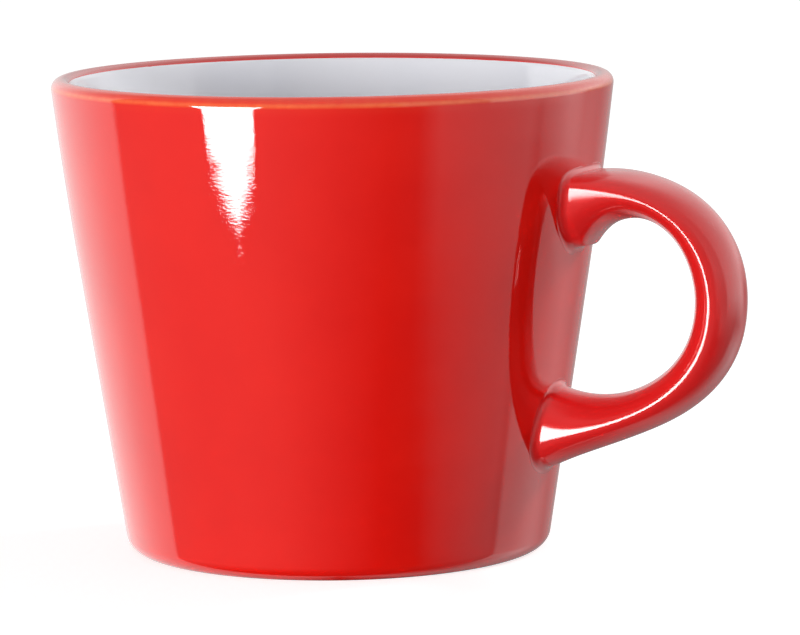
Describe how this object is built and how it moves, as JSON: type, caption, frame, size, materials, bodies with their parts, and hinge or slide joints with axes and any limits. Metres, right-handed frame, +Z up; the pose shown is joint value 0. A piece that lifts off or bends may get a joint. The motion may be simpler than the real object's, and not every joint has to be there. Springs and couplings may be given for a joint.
{
  "type": "mug",
  "caption": "Conical stoneware mug with a looped strap handle, a glossy red coat outside and over the lip, a white liner and a bare foot ring.",
  "frame": {"origin": "middle of the mug's box in X and Y, handle included, on the table plane under the foot ring", "axes": "+Z up along the cup's axis, +X towards the handle, +Y completes a right-handed frame"},
  "size_m": [0.1271, 0.1, 0.085],
  "materials": {
    "clay": "fired stoneware, bare and matt on the foot ring",
    "slip": "fired slip, hidden under the red coat",
    "red_glaze": "glossy opaque red glaze",
    "white_glaze": "glossy opaque white glaze"
  },
  "bodies": {
    "root": {"cup_body": "clay", "handle": "clay", "upper_slip_joint": "slip", "lower_slip_joint": "slip", "outer_glaze": "red_glaze", "handle_glaze": "red_glaze", "inner_glaze": "white_glaze", "base_glaze": "white_glaze"}
  },
  "joints": []
}
